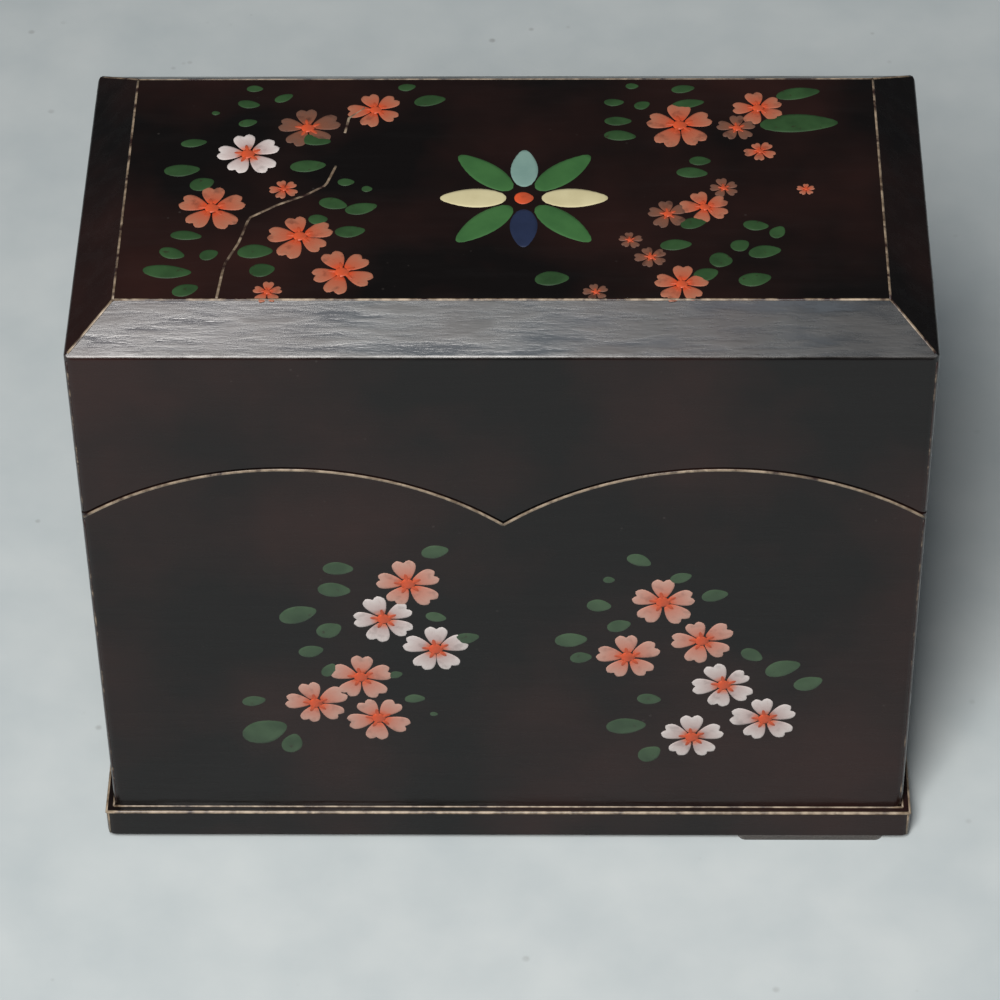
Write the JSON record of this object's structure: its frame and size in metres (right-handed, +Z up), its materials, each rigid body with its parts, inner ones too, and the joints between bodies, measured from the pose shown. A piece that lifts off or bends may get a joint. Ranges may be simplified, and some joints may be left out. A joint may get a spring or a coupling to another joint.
{
  "type": "lacquer card box",
  "caption": "Upright lacquered card box with side-by-side compartments, a flush lift-off lid over an inner liner, a scalloped seam, a bevelled top and a low plinth.",
  "frame": {"origin": "on the table, under the middle of the box", "axes": "+Z up, +X along the wide front towards the right as seen from the front, -Y towards the front"},
  "size_m": [0.1326, 0.069, 0.1122],
  "materials": {
    "black_lacquer": "polished black-brown lacquer on wood, worn gold lines on the edges",
    "inside_lacquer": "thin satin black lacquer on wood",
    "floor_felt": "thin dark red felt",
    "foot_felt": "thin dark felt pad"
  },
  "bodies": {
    "body": {"foot_pad_front_left": "foot_felt", "foot_pad_front_right": "foot_felt", "foot_pad_back_left": "foot_felt", "foot_pad_back_right": "foot_felt", "body_front_board": "black_lacquer", "body_back_board": "black_lacquer", "body_left_board": "black_lacquer", "body_right_board": "black_lacquer", "plinth_front": "black_lacquer", "plinth_back": "black_lacquer", "plinth_left": "black_lacquer", "plinth_right": "black_lacquer", "bottom_board": "inside_lacquer", "liner_front": "inside_lacquer", "liner_back": "inside_lacquer", "liner_left": "inside_lacquer", "liner_right": "inside_lacquer", "divider": "inside_lacquer", "floor_lining_left": "floor_felt", "floor_lining_right": "floor_felt"},
    "lid": {"lid_front_board": "black_lacquer", "lid_back_board": "black_lacquer", "lid_left_board": "black_lacquer", "lid_right_board": "black_lacquer", "lid_moulding_front": "black_lacquer", "lid_moulding_back": "black_lacquer", "lid_moulding_left": "black_lacquer", "lid_moulding_right": "black_lacquer", "lid_top_panel": "black_lacquer"}
  },
  "joints": [
    {"name": "lid_lift", "type": "slide", "parent": "body", "child": "lid", "axis": [0, 0, 1], "range_m": [0, 0.06]}
  ]
}
